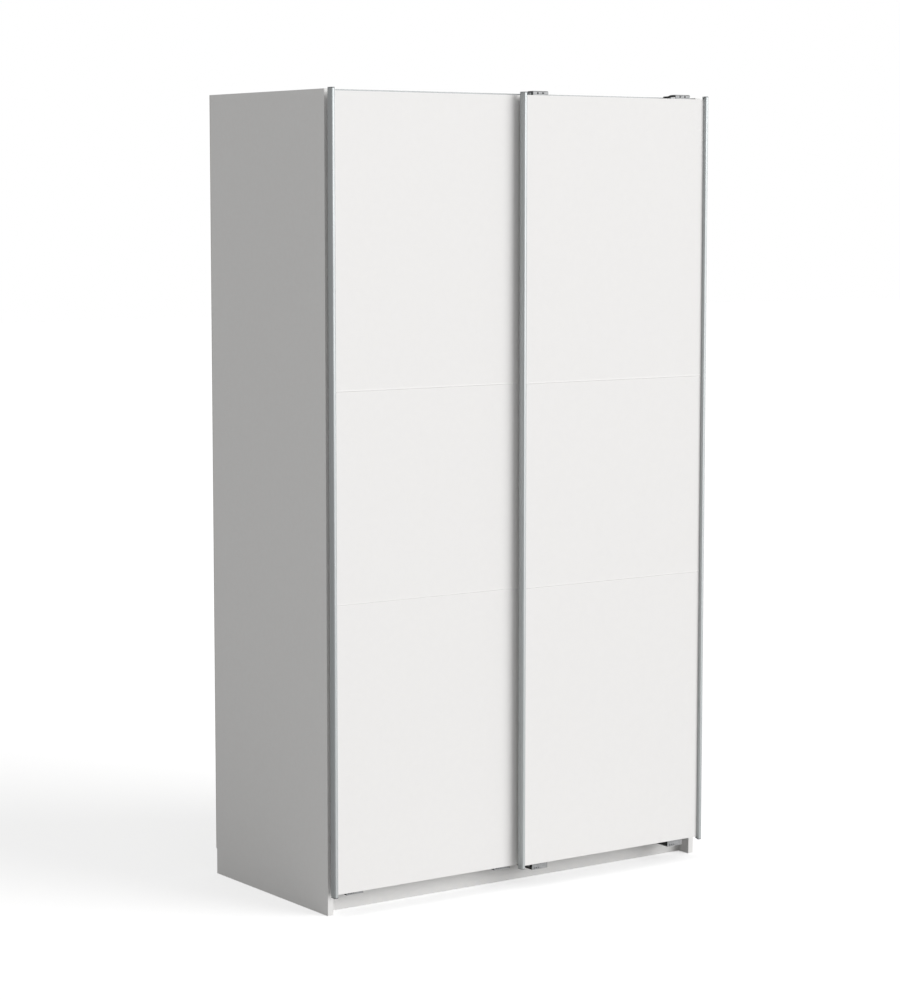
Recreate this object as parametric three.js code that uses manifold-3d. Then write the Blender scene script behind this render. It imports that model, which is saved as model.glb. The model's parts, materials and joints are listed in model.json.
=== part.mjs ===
// Two-door sliding wardrobe: a white board carcass with a divider, shelves and a
// clothes rail, and two top-hung doors on a double track, one running in front of the other.
// Millimetres, +Z up, the front faces -Y. The origin is on the floor under the box's centre.

import * as THREE from 'three';
import { mergeVertices } from 'three/addons/utils/BufferGeometryUtils.js';
import Module from 'manifold-3d';

const wasm = await Module();
wasm.setup();

// ---------- driving sizes ----------

const contactGap = 0.3;        // left between pieces that touch

const carcass = {
  width: 1172,
  sideDepth: 540,
  sideHeight: 2024,
  board: 16,                   // side, top, bottom, divider and shelf thickness
  topWell: 40,                 // the top panel lies this far below the sides' top
  plinthHeight: 66,
  plinthSetBack: 40,
  backThickness: 3,
};

const door = {
  overlap: 28,                 // the two doors' widths together, beyond the carcass
  thickness: 8,
  plinthLap: 9,                // panel's lower edge below the plinth's top
  topDrop: 5,                  // panel's upper edge below the sides' top
  clearOfCarcass: 15.2,        // side panels' front edge to the inner door's back
  gap: 4.2,                    // inner door's front to the outer door's back
  outerShortOfStop: 16.5,      // how far the outer door still stands from its closed stop
  beadHeight: 4.4,
  beadRise: 1.2,
  beadCrown: 0.27,             // crown's height in the bead, from its lower edge
  beadSpacing: 521,
};

const grip = {
  wall: 1.5,
  wrap: 7,                     // how far the profile's back flange covers the panel
  lipWidth: 11,
  lipProud: 7.7,                 // lip front face ahead of the panel's face
  lipRadius: 3.6,
  overrunBottom: 7,            // profile past the panel's lower edge, with its cap
  overrunTop: 7.6,
  capThickness: 1.6,
};

const hanger = {
  width: 48,
  flangeWidth: 24,             // the arm narrows to this at the flange
  thickness: 2,
  plateDrop: 62,               // plate below the panel's upper edge
  bendRadius: 4,
  leftReach: 87.5,             // door's left end to the left hanger's right end
  rightInset: 50.5,            // right hanger's right end to the door's right end
  overWall: 1.2,               // arm above what it passes over
  screwHole: 2.6,              // radius
  sightHole: { radius: 1.9, belowArm: 5.2, fromRight: [17, 33] },
};

const roller = {
  rimRadius: 12,
  grooveDepth: 2.8,            // the groove's floor rides on the track
  width: 9,
  grooveMouth: 6.4,
  axleRadius: 3,
  boreClearance: 0.1,
  sides: 36,
};

const topRail = {
  wall: 2,
  frontInset: 1,               // front wall behind the side panels' front edge
  trackPitch: 20.5,
  ridgeWidth: 3.4,
  ridgeHeight: 4,
  sideWallHeight: 27,
  ridgeInset: 13,              // front wall's outer face to the first ridge's middle
  rearInset: 10.5,             // second ridge's middle to the rear wall's outer face
};

const bottomRail = {
  wall: 1.5,
  frontInset: 1,
  channel: 15,
  height: 11.5,
};

const guide = {
  plateLength: 49,
  plateRise: 36,               // plate above the door panel's lower edge
  plateThickness: 2,
  rivetHole: { radius: 1.8, count: 3, spacing: 7, rise: 4 },   // in a row from the left end
  leftInset: 69,               // door's left end to the left guide's middle
  rightInset: 80,              // right guide's middle to the door's right end
  innerArm: { thickness: 3.5, clearance: 1.5 },    // clearance below the track
  outerArm: { thickness: 7, clearance: 3 },        // clearance below the inner door
  sideClearance: 1,            // shoe to channel wall
  topClearance: 1.8,
};

const shelf = {
  setBack: 45,                 // shelf front behind the side panels' front edge
  backGap: 4,
  sideGap: 1.5,
  leftCount: 4,
  hatShelfFromTop: 330,
};

const divider = { setBack: 22 };

const clothesRail = {
  radius: 12.5,
  wall: 1.2,
  belowHatShelf: 55,
  flangeRadius: 20,
  flangeDepth: 9,
  socketWall: 3,
};

const pinHole = { radius: 2.5, depth: 7, frontInset: 37, rearInset: 60, spacing: 32, perGroup: 3 };

const stop = { length: 14.5, width: 10, height: 13, roomToRoller: 1 };

const wallBracket = { leg: 42, width: 30, thickness: 2, hole: 3, inset: 180 };

const backStrip = { width: 24, flange: 1.2, web: 1.6 };

// ---------- places worked out from the driving sizes ----------

const halfWidth = carcass.width / 2;
const lipFront = door.thickness + grip.wall + 2 * contactGap + grip.lipProud;
const doorPitch = lipFront + door.gap;             // inner door to outer door
const doorStack = door.clearOfCarcass + doorPitch + lipFront;
const depth = doorStack + carcass.sideDepth + carcass.backThickness + contactGap;
const frontY = -depth / 2 + doorStack;             // side panels' front edge
const rearY = frontY + carcass.sideDepth;          // side panels' rear edge
const innerFace = halfWidth - carcass.board;       // side panels' inner faces

const topPanelTop = carcass.sideHeight - carcass.topWell;
const topPanelBottom = topPanelTop - carcass.board;
const bottomPanelBottom = carcass.plinthHeight + contactGap;
const bottomPanelTop = bottomPanelBottom + carcass.board;

const doorWidth = (carcass.width + door.overlap) / 2;
const panelBottom = carcass.plinthHeight - door.plinthLap;
const panelTop = carcass.sideHeight - door.topDrop;
const gripBottom = panelBottom - grip.overrunBottom;
const gripTop = panelTop + grip.overrunTop;

const innerBackY = frontY - door.clearOfCarcass;   // back of the inner door's profiles
const outerBackY = innerBackY - doorPitch;
const innerLeft = -halfWidth;
const outerLeft = halfWidth - door.outerShortOfStop - doorWidth;
const doorTravel = carcass.width - doorWidth;

const railFront = frontY + topRail.frontInset;
const railBase = topPanelTop + contactGap;
const ridgeTop = railBase + topRail.wall + topRail.ridgeHeight;
const treadRadius = roller.rimRadius - roller.grooveDepth;
const axleZ = ridgeTop + treadRadius + 0.2;
const ridgeY = [0, 1].map((i) => railFront + topRail.ridgeInset + i * topRail.trackPitch);
const sideWallTop = railBase + topRail.sideWallHeight;

const channelY = [0, 1].map((i) => frontY + bottomRail.frontInset + bottomRail.wall
  + bottomRail.channel / 2 + i * (bottomRail.channel + bottomRail.wall));
const bottomRailTop = bottomPanelBottom - contactGap;
const bottomRailBottom = bottomRailTop - bottomRail.height;

// ---------- materials ----------

const looks = {
  board: { color: 0xe9e8e4, roughness: 0.45, metalness: 0 },
  doorBoard: { color: 0xeeedea, roughness: 0.4, metalness: 0 },
  hardboard: { color: 0xdedcd5, roughness: 0.7, metalness: 0 },
  aluminium: { color: 0xa9adae, roughness: 0.35, metalness: 0.9 },
  steel: { color: 0x9b9d9f, roughness: 0.4, metalness: 0.9 },
  chrome: { color: 0xc9cccd, roughness: 0.15, metalness: 1 },
  blackPlastic: { color: 0x17181a, roughness: 0.55, metalness: 0 },
  greyPlastic: { color: 0x8b8f90, roughness: 0.5, metalness: 0 },
  nylon: { color: 0xe4e2da, roughness: 0.4, metalness: 0 },
};
const materials = Object.fromEntries(
  Object.entries(looks).map(([name, look]) => [name, new THREE.MeshStandardMaterial(look)]),
);

// ---------- shape helpers ----------

const axisX = new THREE.Vector3(1, 0, 0);
const axisY = new THREE.Vector3(0, 1, 0);
const axisZ = new THREE.Vector3(0, 0, 1);

function box(x0, x1, y0, y1, z0, z1) {
  const geometry = new THREE.BoxGeometry(x1 - x0, y1 - y0, z1 - z0);
  return geometry.translate((x0 + x1) / 2, (y0 + y1) / 2, (z0 + z1) / 2);
}

function outline(points) {
  return new THREE.Shape(points.map(([a, b]) => new THREE.Vector2(a, b)));
}

function extrude(shape, length) {
  return new THREE.ExtrudeGeometry(shape, { depth: length, bevelEnabled: false, curveSegments: 8 });
}

// A section drawn in (y, z), pushed along X.
function alongX(shape, x0, x1) {
  const turn = new THREE.Matrix4().makeBasis(axisY, axisZ, axisX);
  return extrude(shape, x1 - x0).applyMatrix4(turn).translate(x0, 0, 0);
}

// A section drawn in (z, x), pushed along Y.
function alongY(shape, y0, y1) {
  const turn = new THREE.Matrix4().makeBasis(axisZ, axisX, axisY);
  return extrude(shape, y1 - y0).applyMatrix4(turn).translate(0, y0, 0);
}

// A section drawn in (x, y), pushed along Z.
function alongZ(shape, z0, z1) {
  return extrude(shape, z1 - z0).translate(0, 0, z0);
}

function toSolid(geometry) {
  const bare = geometry.clone();
  bare.deleteAttribute('normal');
  bare.deleteAttribute('uv');
  const merged = mergeVertices(bare, 1e-4);
  return new wasm.Manifold(new wasm.Mesh({
    numProp: 3,
    vertProperties: new Float32Array(merged.attributes.position.array),
    triVerts: new Uint32Array(merged.index.array),
  }));
}

function toGeometry(solid) {
  const mesh = solid.getMesh();
  const geometry = new THREE.BufferGeometry();
  geometry.setAttribute('position', new THREE.BufferAttribute(mesh.vertProperties, 3));
  geometry.setIndex(new THREE.BufferAttribute(mesh.triVerts, 1));
  geometry.computeVertexNormals();
  return geometry;
}

function cut(geometry, tools) {
  return toGeometry(tools.reduce((solid, tool) => solid.subtract(toSolid(tool)), toSolid(geometry)));
}

function keepInside(geometry, limit) {
  return toGeometry(toSolid(geometry).intersect(toSolid(limit)));
}

function join(geometries) {
  return toGeometry(geometries.map(toSolid).reduce((sum, solid) => sum.add(solid)));
}

// A round bar along Y from y0 to y1, centred on (x, z).
function barY(x, z, radius, y0, y1, sides = 24) {
  return new THREE.CylinderGeometry(radius, radius, y1 - y0, sides).translate(x, (y0 + y1) / 2, z);
}

// A round bar along X from x0 to x1, centred on (y, z).
function barX(y, z, radius, x0, x1, sides = 24) {
  const bar = new THREE.CylinderGeometry(radius, radius, x1 - x0, sides);
  return bar.rotateZ(Math.PI / 2).translate((x0 + x1) / 2, y, z);
}

const group = new THREE.Group();

function add(name, geometry, look) {
  const mesh = new THREE.Mesh(geometry, materials[look]);
  mesh.name = name;
  group.add(mesh);
  return mesh;
}

// ---------- carcass ----------

// Heights of the adjustable shelves' undersides, spread evenly over the left compartment.
const shelfRoom = topPanelBottom - bottomPanelTop;
const leftShelfZ = Array.from({ length: shelf.leftCount }, (_, i) => {
  const clear = (shelfRoom - shelf.leftCount * carcass.board) / (shelf.leftCount + 1);
  return bottomPanelTop + (i + 1) * clear + i * carcass.board;
});
const hatShelfZ = topPanelBottom - shelf.hatShelfFromTop;

// Blind holes for shelf pins: a group around each shelf height, front and rear.
function pinHoles(faceX, into, shelfHeights) {
  const x0 = Math.min(faceX - into, faceX + into * pinHole.depth);
  const x1 = Math.max(faceX - into, faceX + into * pinHole.depth);
  const columns = [frontY + pinHole.frontInset + shelf.setBack, rearY - pinHole.rearInset];
  const holes = [];
  for (const z of shelfHeights) {
    for (let i = 0; i < pinHole.perGroup; i += 1) {
      const holeZ = z - pinHole.radius + (i - (pinHole.perGroup - 1) / 2) * pinHole.spacing;
      for (const y of columns) holes.push(barX(y, holeZ, pinHole.radius, x0, x1, 8));
    }
  }
  return holes;
}

function sidePanel(side) {
  const inner = side * innerFace;
  const outer = side * halfWidth;
  const board = box(Math.min(inner, outer), Math.max(inner, outer), frontY, rearY, 0, carcass.sideHeight);
  return cut(board, pinHoles(inner, side, side < 0 ? leftShelfZ : [hatShelfZ]));
}

// A board that lies between the two side panels.
function crossBoard(y0, y1, z0, z1) {
  return box(-innerFace + contactGap, innerFace - contactGap, y0, y1, z0, z1);
}

add('side_panel_left', sidePanel(-1), 'board');
add('side_panel_right', sidePanel(1), 'board');
add('top_panel', crossBoard(frontY, rearY, topPanelBottom, topPanelTop), 'board');
add('bottom_panel', crossBoard(frontY, rearY, bottomPanelBottom, bottomPanelTop), 'board');

const plinthY = frontY + carcass.plinthSetBack;
add('plinth_front', crossBoard(plinthY, plinthY + carcass.board, 0, carcass.plinthHeight), 'board');
add('plinth_rear', crossBoard(rearY - carcass.board, rearY, 0, carcass.plinthHeight), 'board');

const dividerHalf = carcass.board / 2;
const dividerRear = rearY - backStrip.flange - contactGap;

function dividerPanel() {
  const board = box(
    -dividerHalf, dividerHalf, frontY + divider.setBack, dividerRear,
    bottomPanelTop + contactGap, topPanelBottom - contactGap,
  );
  return cut(board, [
    ...pinHoles(-dividerHalf, 1, leftShelfZ),
    ...pinHoles(dividerHalf, -1, [hatShelfZ]),
  ]);
}
add('divider', dividerPanel(), 'board');

// Back: two thin sheets on the rear edges, joined behind the divider by a T strip.
const backY = rearY + contactGap;
const backEnd = backY + carcass.backThickness;
const sheetEdge = backStrip.web / 2 + contactGap;

function backSheet(x0, x1) {
  return box(x0, x1, backY, backEnd, bottomPanelBottom, carcass.sideHeight);
}

function jointStrip() {
  const flange = backStrip.width / 2;
  const web = backStrip.web / 2;
  const section = outline([
    [-flange, rearY - backStrip.flange], [flange, rearY - backStrip.flange],
    [flange, rearY], [web, rearY], [web, backEnd], [-web, backEnd], [-web, rearY], [-flange, rearY],
  ]);
  return alongZ(section, bottomPanelTop + contactGap, topPanelBottom - contactGap);
}
add('back_sheet_left', backSheet(-halfWidth, -sheetEdge), 'hardboard');
add('back_sheet_right', backSheet(sheetEdge, halfWidth), 'hardboard');
add('back_joint_strip', jointStrip(), 'nylon');

// ---------- inside fittings ----------

function shelfBoard(x0, x1, z) {
  return box(
    x0 + shelf.sideGap, x1 - shelf.sideGap, frontY + shelf.setBack, rearY - shelf.backGap,
    z, z + carcass.board,
  );
}
leftShelfZ.forEach((z, i) => {
  add(`shelf_${i + 1}`, shelfBoard(-innerFace, -dividerHalf, z), 'board');
});
add('hat_shelf', shelfBoard(dividerHalf, innerFace, hatShelfZ), 'board');

const clothesRailY = (frontY + rearY) / 2;
const clothesRailZ = hatShelfZ - clothesRail.belowHatShelf;

// Cup that is screwed to a side face and holds one end of the clothes rail.
function railCup(faceX, into) {
  const floorX = faceX + into * (contactGap + clothesRail.socketWall);
  const mouthX = faceX + into * (contactGap + clothesRail.flangeDepth);
  const baseX = faceX + into * contactGap;
  const [low, high] = [Math.min(baseX, mouthX), Math.max(baseX, mouthX)];
  const bore = [Math.min(floorX, mouthX + into), Math.max(floorX, mouthX + into)];
  const cup = barX(clothesRailY, clothesRailZ, clothesRail.flangeRadius, low, high, 40);
  const hole = barX(clothesRailY, clothesRailZ, clothesRail.radius + contactGap, ...bore, 40);
  return cut(cup, [hole]);
}

function clothesRailTube() {
  const ends = clothesRail.socketWall + 2 * contactGap;
  const x0 = dividerHalf + ends;
  const x1 = innerFace - ends;
  const bar = barX(clothesRailY, clothesRailZ, clothesRail.radius, x0, x1, 32);
  const bore = barX(clothesRailY, clothesRailZ, clothesRail.radius - clothesRail.wall, x0 - 1, x1 + 1, 32);
  return cut(bar, [bore]);
}
add('clothes_rail', clothesRailTube(), 'chrome');
add('rail_cup_left', railCup(dividerHalf, 1), 'chrome');
add('rail_cup_right', railCup(innerFace, -1), 'chrome');

// ---------- running gear on the carcass ----------

// Double track: two ridges for the rollers between three upright walls.
function topTrack() {
  const wall = topRail.wall;
  const webTop = railBase + wall;
  const half = topRail.ridgeWidth / 2;
  const middle = railFront + topRail.trackPitch;
  const rear = ridgeY[1] + topRail.rearInset;
  const ridge = (y) => [
    [y + half, webTop], [y + half, ridgeTop - half], [y + half / 2, ridgeTop],
    [y - half / 2, ridgeTop], [y - half, ridgeTop - half], [y - half, webTop],
  ];
  const section = outline([
    [railFront, railBase], [rear, railBase], [rear, sideWallTop], [rear - wall, sideWallTop],
    [rear - wall, webTop], ...ridge(ridgeY[1]),
    [middle + wall, webTop], [middle + wall, carcass.sideHeight], [middle, carcass.sideHeight],
    [middle, webTop], ...ridge(ridgeY[0]),
    [railFront + wall, webTop], [railFront + wall, sideWallTop], [railFront, sideWallTop],
  ]);
  return alongX(section, -innerFace + contactGap, innerFace - contactGap);
}
add('top_track', topTrack(), 'aluminium');

// Two channels open downwards, under the bottom panel's front edge.
function bottomTrack() {
  const wall = bottomRail.wall;
  const step = bottomRail.channel + wall;
  const front = frontY + bottomRail.frontInset;
  const roof = bottomRailTop - wall;
  const section = [[front, bottomRailTop], [front, bottomRailBottom]];
  for (let i = 0; i < 2; i += 1) {
    const near = front + wall + i * step;
    section.push([near, bottomRailBottom], [near, roof]);
    section.push([near + bottomRail.channel, roof], [near + bottomRail.channel, bottomRailBottom]);
  }
  section.push([front + 2 * step + wall, bottomRailBottom], [front + 2 * step + wall, bottomRailTop]);
  return alongX(outline(section), -innerFace + contactGap, innerFace - contactGap);
}
add('bottom_track', bottomTrack(), 'aluminium');

// Blocks at the ends of each track's travel, with a slot that straddles the ridge.
function trackStop(y, x0) {
  const half = stop.width / 2;
  const slot = topRail.ridgeWidth / 2 + contactGap;
  const base = railBase + topRail.wall + contactGap;
  const section = outline([
    [y - half, base], [y - slot, base], [y - slot, ridgeTop + contactGap],
    [y + slot, ridgeTop + contactGap], [y + slot, base], [y + half, base],
    [y + half, base + stop.height], [y - half, base + stop.height],
  ]);
  return alongX(section, x0, x0 + stop.length);
}

const rollerInset = hanger.width / 2;        // hanger's right end to its roller's axle
const openRollerEdge = halfWidth - hanger.rightInset - rollerInset + roller.rimRadius;
const closedRollerEdge = innerLeft + hanger.leftReach - rollerInset - roller.rimRadius;
['front', 'rear'].forEach((track, i) => {
  const leftStop = trackStop(ridgeY[i], closedRollerEdge - stop.roomToRoller - stop.length);
  const rightStop = trackStop(ridgeY[i], openRollerEdge + stop.roomToRoller);
  add(`${track}_stop_left`, leftStop, 'blackPlastic');
  add(`${track}_stop_right`, rightStop, 'blackPlastic');
});

// Angle that ties the top panel to the wall, standing on it against the back.
function wallAngle(x) {
  const { leg, width, thickness, hole } = wallBracket;
  const z0 = topPanelTop + contactGap;
  const y1 = rearY;
  const foot = box(x - width / 2, x + width / 2, y1 - leg, y1, z0, z0 + thickness);
  const upright = box(x - width / 2, x + width / 2, y1 - thickness, y1, z0, z0 + leg - contactGap - 4);
  const screw = new THREE.CylinderGeometry(hole, hole, 3 * thickness, 16).rotateX(Math.PI / 2);
  screw.translate(x, y1 - leg * 0.6, z0);
  return cut(join([foot, upright]), [
    screw,
    barY(x, z0 + leg * 0.55, hole, y1 - 2 * thickness, y1 + thickness, 16),
  ]);
}
add('wall_angle_left', wallAngle(-halfWidth + wallBracket.inset), 'steel');
add('wall_angle_right', wallAngle(halfWidth - wallBracket.inset), 'steel');

// ---------- doors ----------

// A slim bead across the door's face between the lips: a long slope down to its crown, and
// a short one back to the face.
function doorBead(left, face, z) {
  const half = door.beadHeight / 2;
  const section = outline([
    [face + door.beadRise, z - half], [face + door.beadRise, z + half], [face, z + half],
    [face - door.beadRise, z - half + door.beadCrown * door.beadHeight], [face, z - half],
  ]);
  const clearOfLip = grip.lipWidth + contactGap;
  return alongX(section, left + clearOfLip, left + doorWidth - clearOfLip);
}

// The door's board, with two beads across its front.
function doorPanel(left, backY0) {
  const back = backY0 - grip.wall - contactGap;
  const face = back - door.thickness;
  const edge = grip.wall + contactGap;
  const board = box(left + edge, left + doorWidth - edge, face, back, panelBottom, panelTop);
  const middle = (panelBottom + panelTop) / 2;
  const beads = [1, -1].map((side) => doorBead(left, face, middle + side * door.beadSpacing / 2));
  return join([board, ...beads]);
}

// Handle profile: a channel over the door's edge, with a rounded lip in front as the grip.
// It is drawn for the door's left end; the right end is its mirror image.
function gripOutline(end, inward, backY0) {
  const front = backY0 - lipFront;
  const lipBack = front + grip.lipProud;
  const r = grip.lipRadius;
  const shape = [];
  const point = (across, y) => shape.push([end + inward * across, y]);
  point(0, backY0);
  point(grip.wrap, backY0);
  point(grip.wrap, backY0 - grip.wall);
  point(grip.wall, backY0 - grip.wall);
  point(grip.wall, lipBack);
  point(grip.lipWidth, lipBack);
  const steps = 5;
  for (let i = 0; i <= steps; i += 1) {
    const a = (i / steps) * (Math.PI / 2);
    point(grip.lipWidth - r + r * Math.cos(a), front + r - r * Math.sin(a));
  }
  for (let i = 0; i <= steps; i += 1) {
    const a = (i / steps) * (Math.PI / 2);
    point(r - r * Math.sin(a), front + r - r * Math.cos(a));
  }
  return shape;
}

function gripProfile(end, inward, backY0) {
  const z0 = gripBottom + grip.capThickness + contactGap;
  const z1 = gripTop - grip.capThickness - contactGap;
  return alongZ(outline(gripOutline(end, inward, backY0)), z0, z1);
}

function gripCap(end, inward, backY0, z0) {
  return alongZ(outline(gripOutline(end, inward, backY0)), z0, z0 + grip.capThickness);
}

// Section of a bent strip: the path is its outer face, and the strip lies to the path's right.
function stripOutline(path, thickness) {
  const normals = path.slice(1).map(([a, b], i) => {
    const [da, db] = [a - path[i][0], b - path[i][1]];
    const length = Math.hypot(da, db);
    return [db / length, -da / length];
  });
  const inside = path.map(([a, b], i) => {
    const before = normals[Math.max(i - 1, 0)];
    const after = normals[Math.min(i, normals.length - 1)];
    const mitre = thickness / (1 + before[0] * after[0] + before[1] * after[1]);
    return [a + mitre * (before[0] + after[0]), b + mitre * (before[1] + after[1])];
  });
  return outline([...path, ...inside.reverse()]);
}

// Quarter turn of a bend, starting at the given angle and turning clockwise.
function bend(centreA, centreB, startAngle) {
  const steps = 3;
  return Array.from({ length: steps + 1 }, (_, i) => {
    const angle = startAngle - (i / steps) * (Math.PI / 2);
    const radius = hanger.bendRadius;
    return [centreA + radius * Math.cos(angle), centreB + radius * Math.sin(angle)];
  });
}

// Steel hanger, bent from one strip: a plate on the door's back, an arm over the track walls
// that starts at frontTop and ends at rearTop, and a flange down to the axle.
function hangerBracket(right, backY0, frontTop, rearTop, flangeY) {
  const left = right - hanger.width;
  const plateFront = backY0 - grip.wall;
  const low = panelTop - hanger.plateDrop;
  const r = hanger.bendRadius;
  const slope = rearTop < frontTop ? [[innerBackY + 3, frontTop], [railFront + topRail.wall, rearTop]] : [];
  const flangeBack = flangeY + hanger.thickness;
  const path = [
    [plateFront, low], ...bend(plateFront + r, frontTop - r, Math.PI), ...slope,
    ...bend(flangeBack - r, rearTop - r, Math.PI / 2), [flangeBack, axleZ - roller.rimRadius * 0.7],
  ];
  const axleHole = [right - rollerInset, axleZ, roller.axleRadius + contactGap];
  const holes = [barY(...axleHole, flangeY - 1, flangeBack + 1)];
  const throughPlate = [plateFront - 1, plateFront + 2 * hanger.thickness];
  for (const along of [0.2, 0.8]) {
    for (const up of [14, 38]) {
      holes.push(barY(left + along * hanger.width, low + up, hanger.screwHole, ...throughPlate, 16));
    }
  }
  const { radius, belowArm, fromRight } = hanger.sightHole;
  for (const distance of fromRight) {
    holes.push(barY(right - distance, frontTop - belowArm, radius, ...throughPlate, 16));
  }
  const narrow = (hanger.width - hanger.flangeWidth) / 2;
  const plateBack = plateFront + hanger.thickness;
  const plan = outline([
    [left, plateFront - 1], [right, plateFront - 1], [right, plateBack],
    [right - narrow, flangeY], [right - narrow, flangeBack + 1],
    [left + narrow, flangeBack + 1], [left + narrow, flangeY], [left, plateBack],
  ]);
  const strip = alongX(stripOutline(path, hanger.thickness), left, right);
  return cut(keepInside(strip, alongZ(plan, low - 1, frontTop + 1)), holes);
}

// Axle with a head in front of the flange and a clip behind the roller.
function axle(x, y, flangeY) {
  const r = roller.axleRadius;
  const headBack = flangeY - contactGap;
  const clipFront = y + roller.width / 2 + contactGap;
  const profile = [
    [0, headBack - 1.7], [5, headBack - 1.7], [5, headBack], [r, headBack],
    [r, clipFront], [4.6, clipFront], [4.6, clipFront + 1.4], [0, clipFront + 1.4],
  ];
  const lathe = new THREE.LatheGeometry(profile.map(([a, b]) => new THREE.Vector2(a, b)), 24);
  return lathe.translate(x, 0, axleZ);
}

// Grooved roller; its groove rides on the track's ridge.
function rollerWheel(x, y) {
  const half = roller.width / 2;
  const mouth = roller.grooveMouth / 2;
  const floor = topRail.ridgeWidth / 2 + 0.3;
  const bore = (roller.axleRadius + roller.boreClearance) / Math.cos(Math.PI / roller.sides);
  const profile = [
    [bore, -half], [roller.rimRadius - 0.6, -half], [roller.rimRadius, -half + 0.6],
    [roller.rimRadius, -mouth], [treadRadius, -floor], [treadRadius, floor],
    [roller.rimRadius, mouth], [roller.rimRadius, half - 0.6], [roller.rimRadius - 0.6, half],
    [bore, half], [bore, -half],
  ];
  const lathe = new THREE.LatheGeometry(profile.map(([a, b]) => new THREE.Vector2(a, b)), roller.sides);
  return lathe.translate(x, y, axleZ);
}

// Guide plate on the door's back, reaching below it to carry the shoe.
function guidePlate(x, backY0, low) {
  const half = guide.plateLength / 2;
  const front = backY0 - grip.wall;
  const top = panelBottom + guide.plateRise;
  const plate = box(x - half, x + half, front, front + guide.plateThickness, low, top);
  const throughPlate = [front - 1, front + guide.plateThickness + 1];
  const holes = [-half * 0.55, half * 0.55].map((dx) => (
    barY(x + dx, panelBottom + guide.plateRise * 0.6, hanger.screwHole, ...throughPlate, 16)
  ));
  const { radius, count, spacing, rise } = guide.rivetHole;
  for (let i = 1; i <= count; i += 1) {
    holes.push(barY(x - half + i * spacing, low + rise, radius, ...throughPlate, 16));
  }
  return cut(plate, holes);
}

// Plastic shoe: an arm under the track and an upstand that runs in one channel.
function guideShoe(x, backY0, arm, channel) {
  const half = guide.plateLength / 2;
  const front = backY0 - grip.wall + guide.plateThickness + contactGap;
  const thick = bottomRail.channel / 2 - guide.sideClearance;
  const roof = bottomRailTop - bottomRail.wall - guide.topClearance;
  const section = outline([
    [front, arm[0]], [channel + thick, arm[0]], [channel + thick, roof - 2],
    [channel + thick - 2, roof], [channel - thick + 2, roof], [channel - thick, roof - 2],
    [channel - thick, arm[1]], [front, arm[1]],
  ]);
  return alongX(section, x - half, x + half);
}

// Bottom and top of a shoe's arm that passes under the given height.
function armHeights({ thickness, clearance }, under) {
  return [under - clearance - thickness, under - clearance];
}

function buildDoor(kind, left, backY0, track) {
  const right = left + doorWidth;
  add(`${kind}_door_panel`, doorPanel(left, backY0), 'doorBoard');
  for (const [side, end, inward] of [['left', left, 1], ['right', right, -1]]) {
    const name = `${kind}_grip_${side}`;
    add(name, gripProfile(end, inward, backY0), 'aluminium');
    add(`${name}_cap_top`, gripCap(end, inward, backY0, gripTop - grip.capThickness), 'greyPlastic');
    add(`${name}_cap_bottom`, gripCap(end, inward, backY0, gripBottom), 'greyPlastic');
  }
  const y = ridgeY[track];
  const flangeY = y - roller.width / 2 - 1.5 - hanger.thickness;
  const armRise = hanger.overWall + hanger.thickness;
  const frontTop = (track === 0 ? sideWallTop : gripTop) + armRise;
  const rearTop = (track === 0 ? sideWallTop : carcass.sideHeight) + armRise;
  for (const [side, end] of [['left', left + hanger.leftReach], ['right', right - hanger.rightInset]]) {
    const x = end - rollerInset;
    add(`${kind}_hanger_${side}`, hangerBracket(end, backY0, frontTop, rearTop, flangeY), 'steel');
    add(`${kind}_axle_${side}`, axle(x, y, flangeY), 'steel');
    add(`${kind}_roller_${side}`, rollerWheel(x, y), 'nylon');
  }
  const arm = track === 0
    ? armHeights(guide.innerArm, bottomRailBottom)
    : armHeights(guide.outerArm, gripBottom);
  for (const [side, x] of [['left', left + guide.leftInset], ['right', right - guide.rightInset]]) {
    add(`${kind}_guide_plate_${side}`, guidePlate(x, backY0, arm[0]), 'steel');
    add(`${kind}_guide_shoe_${side}`, guideShoe(x, backY0, arm, channelY[track]), 'blackPlastic');
  }
}

buildDoor('inner', innerLeft, innerBackY, 0);
buildDoor('outer', outerLeft, outerBackY, 1);

export default group;
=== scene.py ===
import json
import math

import bmesh
import bpy
from mathutils import Matrix, Vector


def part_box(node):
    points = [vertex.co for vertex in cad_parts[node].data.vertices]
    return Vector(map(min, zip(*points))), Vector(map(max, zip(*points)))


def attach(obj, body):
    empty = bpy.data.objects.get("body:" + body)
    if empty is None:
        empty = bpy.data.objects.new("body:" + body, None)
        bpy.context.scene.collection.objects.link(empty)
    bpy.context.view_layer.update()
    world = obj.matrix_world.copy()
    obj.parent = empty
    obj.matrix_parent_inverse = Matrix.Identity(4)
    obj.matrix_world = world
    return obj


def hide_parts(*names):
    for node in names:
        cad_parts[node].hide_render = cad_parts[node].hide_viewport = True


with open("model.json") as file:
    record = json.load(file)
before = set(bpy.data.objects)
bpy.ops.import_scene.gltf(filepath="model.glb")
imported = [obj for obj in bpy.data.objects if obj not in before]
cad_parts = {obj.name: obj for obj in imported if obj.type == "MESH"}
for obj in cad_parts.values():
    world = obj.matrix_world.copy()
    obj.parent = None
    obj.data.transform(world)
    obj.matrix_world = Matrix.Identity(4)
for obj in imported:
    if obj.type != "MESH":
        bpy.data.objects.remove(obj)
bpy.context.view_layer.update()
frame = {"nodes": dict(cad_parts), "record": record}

# Metres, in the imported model's own frame: +Z up, the doors face -Y, +X is to the right.

nodes = frame["nodes"]
slot_of = {part["node"]: part["material_slot"] for part in frame["record"]["subparts"]}
body_of = {
    node: body
    for body, members in frame["record"]["behaviour"]["bodies"].items()
    for node in members
}
MM = 0.001

# ---------- camera, light and floor ----------

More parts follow.
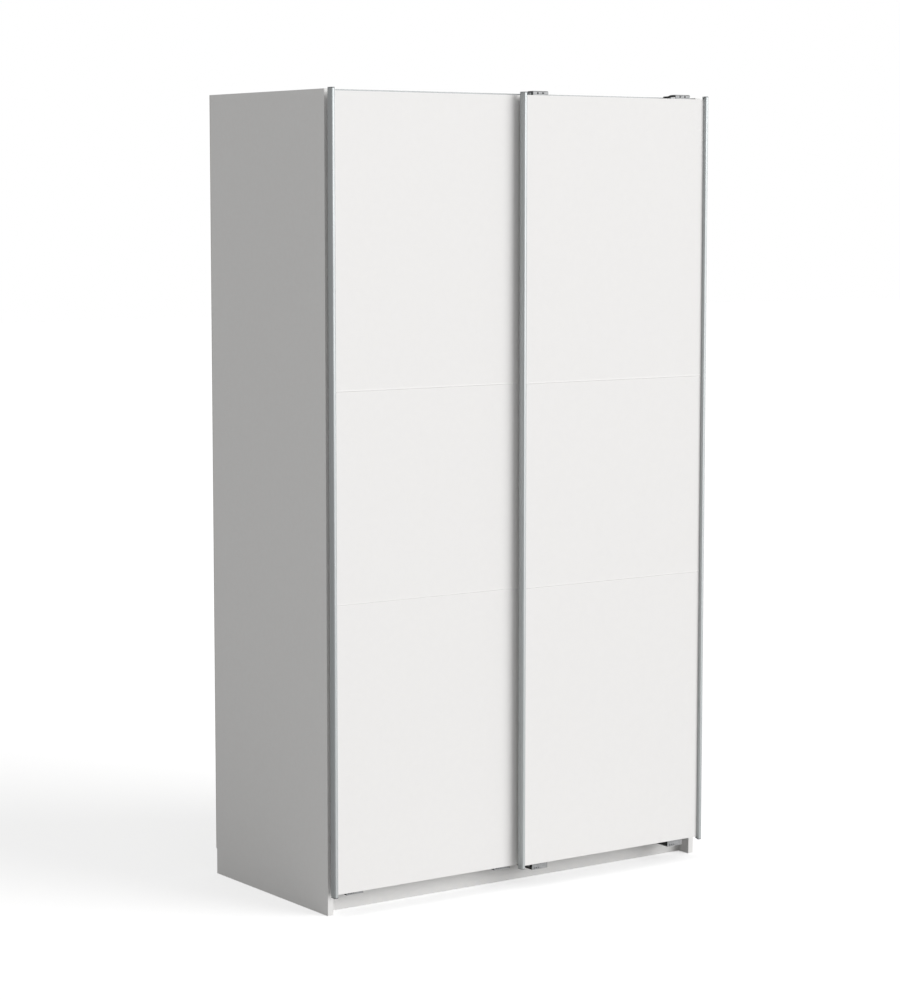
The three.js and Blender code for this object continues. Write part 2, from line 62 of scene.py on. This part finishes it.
CAMERA_AZIMUTH = math.radians(-35.06)
CAMERA_ELEVATION = math.radians(6.194)
CAMERA_DISTANCE = 7.05
CAMERA_AIM = Vector((-0.170, -0.176, 1.002))
CAMERA_LENS = 100.1
CAMERA_SENSOR = 36
VIEW_DEPTH = 200               # farther than the floor's far edge

KEY_DIRECTION = Vector((0.54, -0.74, 0.30))
KEY_STRENGTH = 2.15
KEY_SOFTNESS = math.radians(44)
AMBIENT = 0.44                 # fill from all round
BACKDROP = 1.0                 # the white that the camera sees behind the floor
FLOOR_GLOW = 0.53              # added to the floor that the camera sees, as on a lit paper roll
FLOOR_WHITE = 0.80             # the floor's white as the camera sees it
FLOOR_BOUNCE = 0.70            # and as the wardrobe is lit by it
FLOOR_SIZE = 60.0


def add_camera():
    data = bpy.data.cameras.new("camera")
    data.lens = CAMERA_LENS
    data.sensor_width = CAMERA_SENSOR
    data.clip_end = VIEW_DEPTH
    camera = bpy.data.objects.new("camera", data)
    back = Vector((
        math.sin(CAMERA_AZIMUTH) * math.cos(CAMERA_ELEVATION),
        -math.cos(CAMERA_AZIMUTH) * math.cos(CAMERA_ELEVATION),
        math.sin(CAMERA_ELEVATION),
    ))
    camera.location = CAMERA_AIM + back * CAMERA_DISTANCE
    camera.rotation_euler = (-back).to_track_quat("-Z", "Y").to_euler()
    bpy.context.scene.collection.objects.link(camera)
    bpy.context.scene.camera = camera


def add_key_light():
    data = bpy.data.lights.new("key", "SUN")
    data.energy = KEY_STRENGTH
    data.angle = KEY_SOFTNESS
    light = bpy.data.objects.new("key", data)
    light.rotation_euler = KEY_DIRECTION.to_track_quat("Z", "Y").to_euler()
    bpy.context.scene.collection.objects.link(light)


def new_material(name):
    """A material with an empty node tree, its output, and a shorthand to add and join nodes."""
    material = bpy.data.materials.new(name)
    material.use_nodes = True
    tree = material.node_tree
    tree.nodes.clear()
    output = tree.nodes.new("ShaderNodeOutputMaterial")
    return material, tree, output


def add_world():
    """A white studio: the backdrop is white to the camera and gives a dimmer, even fill."""
    world = bpy.data.worlds.new("studio")
    world.use_nodes = True
    tree = world.node_tree
    tree.nodes.clear()
    output = tree.nodes.new("ShaderNodeOutputWorld")
    fill = tree.nodes.new("ShaderNodeBackground")
    fill.inputs["Color"].default_value = (1, 1, 1, 1)
    fill.inputs["Strength"].default_value = AMBIENT
    backdrop = tree.nodes.new("ShaderNodeBackground")
    backdrop.inputs["Color"].default_value = (1, 1, 1, 1)
    backdrop.inputs["Strength"].default_value = BACKDROP
    path = tree.nodes.new("ShaderNodeLightPath")
    mix = tree.nodes.new("ShaderNodeMixShader")
    tree.links.new(path.outputs["Is Camera Ray"], mix.inputs["Fac"])
    tree.links.new(fill.outputs[0], mix.inputs[1])
    tree.links.new(backdrop.outputs[0], mix.inputs[2])
    tree.links.new(mix.outputs[0], output.inputs["Surface"])
    bpy.context.scene.world = world


def add_floor():
    """A plain white floor. It bounces less light than it shows, as a lit paper roll would."""
    mesh = bpy.data.meshes.new("floor")
    far = FLOOR_SIZE / 2
    corners = [(-far, -far, 0), (far, -far, 0), (far, far, 0), (-far, far, 0)]
    mesh.from_pydata(corners, [], [(0, 1, 2, 3)])
    floor = bpy.data.objects.new("floor", mesh)
    bpy.context.scene.collection.objects.link(floor)
    material, tree, output = new_material("floor")
    lit = tree.nodes.new("ShaderNodeBsdfDiffuse")
    lit.inputs["Color"].default_value = (FLOOR_WHITE, FLOOR_WHITE, FLOOR_WHITE, 1)
    glow = tree.nodes.new("ShaderNodeEmission")
    glow.inputs["Strength"].default_value = FLOOR_GLOW
    seen = tree.nodes.new("ShaderNodeAddShader")
    tree.links.new(lit.outputs[0], seen.inputs[0])
    tree.links.new(glow.outputs[0], seen.inputs[1])
    bounce = tree.nodes.new("ShaderNodeBsdfDiffuse")
    bounce.inputs["Color"].default_value = (FLOOR_BOUNCE, FLOOR_BOUNCE, FLOOR_BOUNCE, 1)
    path = tree.nodes.new("ShaderNodeLightPath")
    mix = tree.nodes.new("ShaderNodeMixShader")
    tree.links.new(path.outputs["Is Camera Ray"], mix.inputs["Fac"])
    tree.links.new(bounce.outputs[0], mix.inputs[1])
    tree.links.new(seen.outputs[0], mix.inputs[2])
    tree.links.new(mix.outputs[0], output.inputs["Surface"])
    mesh.materials.append(material)


add_camera()
add_key_light()
add_world()
add_floor()
bpy.context.scene.view_settings.view_transform = "Standard"


# ---------- materials ----------

NOISE_LOW = 0.35               # a noise texture's values lie mostly between these
NOISE_HIGH = 0.65
PATCH_DETAIL = 4               # octaves of noise in the patches, the grain and the wave
GRAIN_DETAIL = 5
WAVE_DETAIL = 2


def place(tree, stretch):
    """The piece's own coordinates in metres, stretched, so that a grain can run one way."""
    coordinates = tree.nodes.new("ShaderNodeTexCoord")
    mapping = tree.nodes.new("ShaderNodeMapping")
    mapping.inputs["Scale"].default_value = stretch
    tree.links.new(coordinates.outputs["Object"], mapping.inputs["Vector"])
    return mapping.outputs["Vector"]


def noise(tree, vector, scale, detail):
    texture = tree.nodes.new("ShaderNodeTexNoise")
    texture.inputs["Scale"].default_value = scale
    texture.inputs["Detail"].default_value = detail
    tree.links.new(vector, texture.inputs["Vector"])
    return texture.outputs["Fac"]


def cells(tree, vector, scale):
    """One even value for each cell, as on the crystals of galvanised steel."""
    texture = tree.nodes.new("ShaderNodeTexVoronoi")
    texture.inputs["Scale"].default_value = scale
    tree.links.new(vector, texture.inputs["Vector"])
    split = tree.nodes.new("ShaderNodeSeparateColor")
    tree.links.new(texture.outputs["Color"], split.inputs["Color"])
    return split.outputs["Red"]


def between(tree, value, low, high):
    """Spreads a noise texture's value over low to high."""
    spread = tree.nodes.new("ShaderNodeMapRange")
    spread.inputs["From Min"].default_value = NOISE_LOW
    spread.inputs["From Max"].default_value = NOISE_HIGH
    spread.inputs["To Min"].default_value = low
    spread.inputs["To Max"].default_value = high
    tree.links.new(value, spread.inputs["Value"])
    return spread.outputs["Result"]


def color_between(tree, value, dark, light):
    """Spreads a texture's value over two colours."""
    ramp = tree.nodes.new("ShaderNodeValToRGB")
    first, last = ramp.color_ramp.elements
    first.position = NOISE_LOW
    first.color = (*dark, 1)
    last.position = NOISE_HIGH
    last.color = (*light, 1)
    tree.links.new(value, ramp.inputs["Fac"])
    return ramp.outputs["Color"]


def relief(tree, heights, normal_input):
    """Chains one bump per (height, strength, depth in metres)."""
    below = None
    for height, strength, depth in heights:
        bump = tree.nodes.new("ShaderNodeBump")
        bump.inputs["Strength"].default_value = strength
        bump.inputs["Distance"].default_value = depth
        tree.links.new(height, bump.inputs["Height"])
        if below:
            tree.links.new(below, bump.inputs["Normal"])
        below = bump.outputs["Normal"]
    tree.links.new(below, normal_input)


def finish(name, dark, light, roughness, grain, patch=None, spangle=None, wave=None,
           stretch=(1, 1, 1), metallic=0.0, specular=0.5):
    """A surface with colour patches, a fine grain in gloss and relief, and an optional slow wave.

    The colour runs from dark to light in soft patches, or in flat cells where spangle is given:
    both are counts per metre. roughness is (least, most). grain and wave are (count per metre,
    strength, depth in metres).
    """
    material, tree, output = new_material(name)
    shader = tree.nodes.new("ShaderNodeBsdfPrincipled")
    shader.inputs["Metallic"].default_value = metallic
    shader.inputs["Specular IOR Level"].default_value = specular
    vector = place(tree, stretch)
    patches = (
        cells(tree, vector, spangle) if spangle else noise(tree, vector, patch, PATCH_DETAIL)
    )
    tree.links.new(color_between(tree, patches, dark, light), shader.inputs["Base Color"])
    grain_count, *grain_relief = grain
    fine = noise(tree, vector, grain_count, GRAIN_DETAIL)
    tree.links.new(between(tree, fine, *roughness), shader.inputs["Roughness"])
    heights = [(fine, *grain_relief)]
    if wave:
        wave_count, *wave_relief = wave
        heights.append((noise(tree, vector, wave_count, WAVE_DETAIL), *wave_relief))
    relief(tree, heights, shader.inputs["Normal"])
    tree.links.new(shader.outputs[0], output.inputs["Surface"])
    return material


ALONG_Z = (1, 1, 0.004)        # stretches that draw the grain out along one axis
ALONG_X = (0.004, 1, 1)

melamine = finish(
    "melamine", dark=(0.838, 0.831, 0.818), light=(0.848, 0.842, 0.83), roughness=(0.46, 0.56),
    patch=90, grain=(1400, 0.20, 0.12 * MM), wave=(120, 0.10, 0.2 * MM),
)
door_foil = finish(
    "door_foil", dark=(0.863, 0.853, 0.843), light=(0.870, 0.860, 0.850), roughness=(0.52, 0.60),
    patch=60, grain=(900, 0.10, 0.1 * MM), wave=(70, 0.06, 0.3 * MM), specular=0.4,
)
hardboard = finish(
    "hardboard", dark=(0.690, 0.680, 0.648), light=(0.716, 0.706, 0.675), roughness=(0.55, 0.75),
    patch=40, grain=(650, 0.35, 0.2 * MM), wave=(160, 0.25, 0.4 * MM), stretch=(1, 1, 0.6),
)
strip_plastic = finish(
    "strip_plastic", dark=(0.76, 0.76, 0.74), light=(0.80, 0.80, 0.78), roughness=(0.35, 0.45),
    patch=14, grain=(500, 0.08, 0.1 * MM), stretch=ALONG_Z,
)
chrome = finish(
    "chrome", dark=(0.70, 0.71, 0.72), light=(0.78, 0.79, 0.80), roughness=(0.08, 0.20),
    patch=60, grain=(900, 0.05, 0.05 * MM), stretch=ALONG_X, metallic=1.0,
)
cap_plastic = finish(
    "cap_plastic", dark=(0.17, 0.18, 0.19), light=(0.22, 0.23, 0.24), roughness=(0.42, 0.58),
    patch=60, grain=(2200, 0.35, 0.1 * MM),
)
grip_aluminium = finish(
    "grip_aluminium", dark=(0.45, 0.475, 0.48), light=(0.53, 0.552, 0.555), roughness=(0.42, 0.54),
    patch=260, grain=(1500, 0.10, 0.05 * MM), stretch=ALONG_Z, metallic=0.82,
)
# A copy of the grip metal, a little rougher, with its colour darkened as painted shade on the
# level tracks.
track_aluminium_painted_shade = finish(
    "track_aluminium_painted_shade", dark=(0.32, 0.335, 0.34), light=(0.38, 0.395, 0.40), roughness=(0.46, 0.58),
    patch=260, grain=(1500, 0.10, 0.05 * MM), stretch=ALONG_X, metallic=0.82,
)
black_plastic = finish(
    "black_plastic", dark=(0.008, 0.008, 0.009), light=(0.018, 0.018, 0.019),
    roughness=(0.38, 0.60), patch=80, grain=(1800, 0.40, 0.15 * MM),
)
zinc = finish(
    "zinc", dark=(0.31, 0.315, 0.32), light=(0.365, 0.37, 0.375), roughness=(0.50, 0.66),
    spangle=230, grain=(800, 0.12, 0.1 * MM), metallic=0.6,
)
nylon = finish(
    "nylon", dark=(0.70, 0.69, 0.64), light=(0.76, 0.75, 0.71), roughness=(0.34, 0.50),
    patch=50, grain=(1200, 0.15, 0.1 * MM),
)

look_of_slot = {
    "white_board": melamine,
    "door_board": door_foil,
    "hardboard": hardboard,
    "white_plastic": strip_plastic,
    "chrome_tube": chrome,
    "grey_plastic": cap_plastic,
    "black_plastic": black_plastic,
    "zinc_steel": zinc,
    "nylon": nylon,
}


def look_of(node):
    """The tracks lie level and take a rougher copy of the grips' metal, whose darker colour is
    painted shade.
    """
    if slot_of[node] == "aluminium":
        return track_aluminium_painted_shade if node.endswith("track") else grip_aluminium
    return look_of_slot[slot_of[node]]


# ---------- the CAD pieces, with their edges broken ----------

EDGE_WIDTH = {                 # of the bevel on each slot's edges
    "white_board": 0.8 * MM,
    "door_board": 0.3 * MM,
    "hardboard": 0.25 * MM,
    "white_plastic": 0.2 * MM,
    "chrome_tube": 0.25 * MM,
    "grey_plastic": 0.3 * MM,
    "aluminium": 0.25 * MM,
    "black_plastic": 0.5 * MM,
    "zinc_steel": 0.3 * MM,
    "nylon": 0.3 * MM,
}
EDGE_SEGMENTS = 2
BROKEN_FROM = math.radians(50)       # edges sharper than this are broken
SHARP_FROM = math.radians(35)        # and edges sharper than this aren't smoothed over
BEAD_SHARP_FROM = math.radians(8)    # keeps the low beads across the doors crisp
WELD_WITHIN = 0.001 * MM
FLAT_WITHIN = math.radians(0.5)      # triangles this close to one plane become one face


def new_piece(name, mesh, body, look):
    """A visible piece that moves with its body."""
    piece = bpy.data.objects.new(name, mesh)
    bpy.context.scene.collection.objects.link(piece)
    mesh.materials.clear()
    mesh.materials.append(look)
    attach(piece, body)
    return piece


def weld(mesh):
    """Joins the mesh's split corners and merges its flat triangles into whole faces."""
    shape = bmesh.new()
    shape.from_mesh(mesh)
    bmesh.ops.remove_doubles(shape, verts=shape.verts, dist=WELD_WITHIN)
    bmesh.ops.dissolve_limit(
        shape, angle_limit=FLAT_WITHIN, verts=shape.verts, edges=shape.edges,
    )
    shape.to_mesh(mesh)
    shape.free()


def broken_edges(node):
    """The node's own shape with its edges rounded, shown instead of the CAD mesh."""
    slot = slot_of[node]
    mesh = nodes[node].data.copy()
    mesh.name = f"{node}_finished"
    weld(mesh)
    mesh.shade_smooth()
    mesh.set_sharp_from_angle(angle=BEAD_SHARP_FROM if slot == "door_board" else SHARP_FROM)
    piece = new_piece(f"{node}_finished", mesh, body_of[node], look_of(node))
    bevel = piece.modifiers.new("edges", "BEVEL")
    bevel.width = EDGE_WIDTH[slot]
    bevel.segments = EDGE_SEGMENTS
    bevel.limit_method = "ANGLE"
    bevel.angle_limit = BROKEN_FROM
    flatten = piece.modifiers.new("flat_faces", "WEIGHTED_NORMAL")
    flatten.keep_sharp = True
    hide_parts(node)


for node_name in sorted(slot_of):
    broken_edges(node_name)


# ---------- small fixings ----------

TURNED_SIDES = 20
PLUS_X, PLUS_Y, PLUS_Z = Vector((1, 0, 0)), Vector((0, 1, 0)), Vector((0, 0, 1))


def turned(shape, at, direction, profile):
    """Adds a turned shape: profile is (radius, distance along direction) from foot to tip."""
    turn = direction.to_track_quat("Z", "Y").to_matrix().to_4x4()
    matrix = Matrix.Translation(at) @ turn
    rings = []
    for radius, along in profile:
        if radius == 0:
            rings.append([shape.verts.new(matrix @ Vector((0, 0, along)))])
            continue
        ring = []
        for i in range(TURNED_SIDES):
            angle = 2 * math.pi * i / TURNED_SIDES
            point = Vector((radius * math.cos(angle), radius * math.sin(angle), along))
            ring.append(shape.verts.new(matrix @ point))
        rings.append(ring)
    for low, high in zip(rings, rings[1:]):
        for i in range(TURNED_SIDES):
            j = (i + 1) % TURNED_SIDES
            corners = [
                low[i % len(low)], low[j % len(low)], high[j % len(high)], high[i % len(high)],
            ]
            # A ring of one point, on the axis, is met by triangles.
            shape.faces.new(list(dict.fromkeys(corners)))


def fixings(name, body, slot, profile, places):
    """One piece made of equal turned shapes at (point, direction) places."""
    shape = bmesh.new()
    for at, direction in places:
        turned(shape, at, direction, profile)
    bmesh.ops.recalc_face_normals(shape, faces=shape.faces)
    mesh = bpy.data.meshes.new(name)
    shape.to_mesh(mesh)
    shape.free()
    mesh.shade_smooth()
    mesh.set_sharp_from_angle(angle=SHARP_FROM)
    new_piece(name, mesh, body, look_of_slot[slot])


def scaled(profile, radius, height):
    return [(radius * r, height * h) for r, h in profile]


def spread(low, high, count):
    """Evenly spaced places from low to high, both ends included."""
    return [low + (high - low) * i / (count - 1) for i in range(count)]


# Heads with a driver recess or a dimple, as shares of their radius and height. They start a
# little below the surface that they sit on.
PAN_HEAD = [
    (0, -0.3), (0.98, -0.3), (1, 0.2), (0.93, 0.6), (0.72, 0.9), (0.5, 1), (0.36, 0.97),
    (0.3, 0.45), (0, 0.3),
]
FLAT_HEAD = [
    (0, -0.5), (0.95, -0.5), (1, 0), (0.96, 0.6), (0.8, 1), (0.32, 1), (0.28, 0.2), (0, 0),
]
NAIL_HEAD = [(0, -0.5), (0.9, -0.5), (1, 0.2), (0.8, 0.85), (0.4, 1), (0, 1)]
COVER = [
    (0, -0.3), (0.97, -0.3), (1, 0.3), (0.93, 0.9), (0.85, 1), (0.25, 0.94), (0.2, 0.7), (0, 0.7),
]

# A shelf pin: its shank in the hole, its collar on the board, and the peg under the shelf.
PIN = scaled([
    (0, -6.6), (1.9, -6.6), (2.3, -6.2), (2.3, -0.2), (3.6, -0.2), (3.6, 0.9), (2.45, 1),
    (2.45, 7.4), (2.1, 8), (0, 8),
], MM, MM)

DOOR_SCREW = scaled(PAN_HEAD, 4.1 * MM, 1.7 * MM)
# Flat heads in black, set in the hangers' small holes as painted shade.
SHADE_DISC = scaled(FLAT_HEAD, 2.5 * MM, 0.6 * MM)
RAIL_SCREW = scaled(FLAT_HEAD, 2.6 * MM, 0.7 * MM)
TOP_SCREW = scaled(FLAT_HEAD, 2.6 * MM, 1.1 * MM)
CAM_COVER = scaled(COVER, 8.5 * MM, 1.2 * MM)
NAIL = scaled(NAIL_HEAD, 2.3 * MM, 0.5 * MM)

SHEET_METAL = 2 * MM                     # thickness of the hangers, top track and wall angles
HANGER_SCREWS_ALONG = (0.2, 0.8)         # shares of the hanger's width
HANGER_SCREWS_UP = (14 * MM, 38 * MM)    # from the hanger's lower edge
# Where the black heads of painted shade sit in the hangers' row of small holes.
SHADE_DISCS_FROM_RIGHT = (17 * MM, 33 * MM)
SHADE_DISCS_BELOW_ARM = 5.2 * MM
GUIDE_SCREW_SPREAD = 0.55                # share of the guide plate's half length
GUIDE_SCREW_DROP = 14.4 * MM             # from the guide plate's upper edge


def hanger_screws(door):
    """Screw heads on the back of the hangers' plates."""
    places = []
    for side in ("left", "right"):
        low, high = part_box(f"{door}_hanger_{side}")
        for along in HANGER_SCREWS_ALONG:
            for up in HANGER_SCREWS_UP:
                x = low.x + along * (high.x - low.x)
                places.append((Vector((x, low.y + SHEET_METAL, low.z + up)), PLUS_Y))
    return places


def hanger_shade_discs(door):
    """Flat black heads in the row of small holes just under the hangers' arms, as painted shade in
    the holes.
    """
    places = []
    for side in ("left", "right"):
        low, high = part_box(f"{door}_hanger_{side}")
        for from_right in SHADE_DISCS_FROM_RIGHT:
            at = Vector((high.x - from_right, low.y, high.z - SHADE_DISCS_BELOW_ARM))
            places.append((at, -PLUS_Y))
    return places


def guide_screws(door):
    """Screw heads on the back of the guide plates."""
    places = []
    for side in ("left", "right"):
        low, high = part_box(f"{door}_guide_plate_{side}")
        middle = (low.x + high.x) / 2
        half = (high.x - low.x) / 2
        for share in (-GUIDE_SCREW_SPREAD, GUIDE_SCREW_SPREAD):
            at = Vector((middle + share * half, high.y, high.z - GUIDE_SCREW_DROP))
            places.append((at, PLUS_Y))
    return places


for door in ("inner", "outer"):
    body = f"{door}_door"
    fixings(f"{door}_hanger_screws", body, "zinc_steel", DOOR_SCREW, hanger_screws(door))
    # Black heads in the hangers' small holes: painted shade.
    fixings(f"{door}_hanger_shade_discs", body, "black_plastic", SHADE_DISC, hanger_shade_discs(door))
    fixings(f"{door}_guide_screws", body, "zinc_steel", DOOR_SCREW, guide_screws(door))


PIN_BELOW_SHELF = 2.5 * MM
PIN_FROM_SHELF_FRONT = 37 * MM
PIN_FROM_SIDE_REAR = 60 * MM
LEFT_SHELVES = 4


def shelf_pins():
    """Two pins under each end of each shelf, in the rows of holes."""
    side_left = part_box("side_panel_left")
    side_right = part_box("side_panel_right")
    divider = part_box("divider")
    faces = {"hat_shelf": (divider[1].x, side_right[0].x)}
    for i in range(1, LEFT_SHELVES + 1):
        faces[f"shelf_{i}"] = (side_left[1].x, divider[0].x)
    places = []
    for shelf, (left, right) in faces.items():
        low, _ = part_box(shelf)
        z = low.z - PIN_BELOW_SHELF
        for y in (low.y + PIN_FROM_SHELF_FRONT, side_left[1].y - PIN_FROM_SIDE_REAR):
            places.append((Vector((left, y, z)), PLUS_X))
            places.append((Vector((right, y, z)), -PLUS_X))
    return places


RAIL_SCREW_RISE = 16.4 * MM              # above and below the clothes rail's middle


def rail_cup_screws():
    places = []
    for cup, direction, face in (("left", PLUS_X, 1), ("right", -PLUS_X, 0)):
        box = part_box(f"rail_cup_{cup}")
        middle = (box[0] + box[1]) / 2
        for up in (-RAIL_SCREW_RISE, RAIL_SCREW_RISE):
            places.append((Vector((box[face].x, middle.y, middle.z + up)), direction))
    return places


TRACK_SCREWS = 6
TRACK_SCREW_FROM_END = 40 * MM
TRACK_SCREW_FROM_FRONT = 5.2 * MM
ANGLE_SCREW_FROM_REAR = 25.2 * MM


def top_screws():
    """Screws that hold the double track, its stops and the wall angles on the top panel."""
    places = []
    low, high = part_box("top_track")
    for x in spread(low.x + TRACK_SCREW_FROM_END, high.x - TRACK_SCREW_FROM_END, TRACK_SCREWS):
        at = Vector((x, low.y + TRACK_SCREW_FROM_FRONT, low.z + SHEET_METAL))
        places.append((at, PLUS_Z))
    for row in ("front", "rear"):
        for side in ("left", "right"):
            low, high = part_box(f"{row}_stop_{side}")
            places.append((Vector(((low.x + high.x) / 2, (low.y + high.y) / 2, high.z)), PLUS_Z))
    for side in ("left", "right"):
        low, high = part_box(f"wall_angle_{side}")
        middle = (low.x + high.x) / 2
        at = Vector((middle, high.y - ANGLE_SCREW_FROM_REAR, low.z + SHEET_METAL))
        places.append((at, PLUS_Z))
    return places


COVER_FROM_SIDE = 34 * MM
COVER_FROM_FRONT = 85 * MM
COVER_FROM_REAR = 60 * MM


def cam_covers():
    """Caps over the cam bolts that pull the top and bottom panels to the sides."""
    places = []
    for panel in ("top_panel", "bottom_panel"):
        low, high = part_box(panel)
        for x in (low.x + COVER_FROM_SIDE, high.x - COVER_FROM_SIDE):
            for y in (low.y + COVER_FROM_FRONT, high.y - COVER_FROM_REAR):
                places.append((Vector((x, y, high.z)), PLUS_Z))
    return places


NAIL_FROM_EDGE = 8 * MM
NAIL_FROM_CORNER = 60 * MM
NAILS_UP = 14
NAILS_ACROSS = 5


def back_nails():
    """Nails round the back sheets, into the sides, the top panel and the bottom panel."""
    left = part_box("back_sheet_left")
    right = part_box("back_sheet_right")
    rear = left[1].y
    places = []
    for z in spread(left[0].z + NAIL_FROM_CORNER, left[1].z - NAIL_FROM_CORNER, NAILS_UP):
        for x in (left[0].x + NAIL_FROM_EDGE, right[1].x - NAIL_FROM_EDGE):
            places.append((Vector((x, rear, z)), PLUS_Y))
    for panel in ("top_panel", "bottom_panel"):
        low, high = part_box(panel)
        for first, last in (left, right):
            for x in spread(first.x + NAIL_FROM_CORNER, last.x - NAIL_FROM_CORNER, NAILS_ACROSS):
                places.append((Vector((x, rear, (low.z + high.z) / 2)), PLUS_Y))
    return places


fixings("shelf_pins", "carcass", "zinc_steel", PIN, shelf_pins())
fixings("rail_cup_screws", "carcass", "zinc_steel", RAIL_SCREW, rail_cup_screws())
fixings("top_screws", "carcass", "zinc_steel", TOP_SCREW, top_screws())
fixings("cam_covers", "carcass", "white_plastic", CAM_COVER, cam_covers())
fixings("back_nails", "carcass", "zinc_steel", NAIL, back_nails())
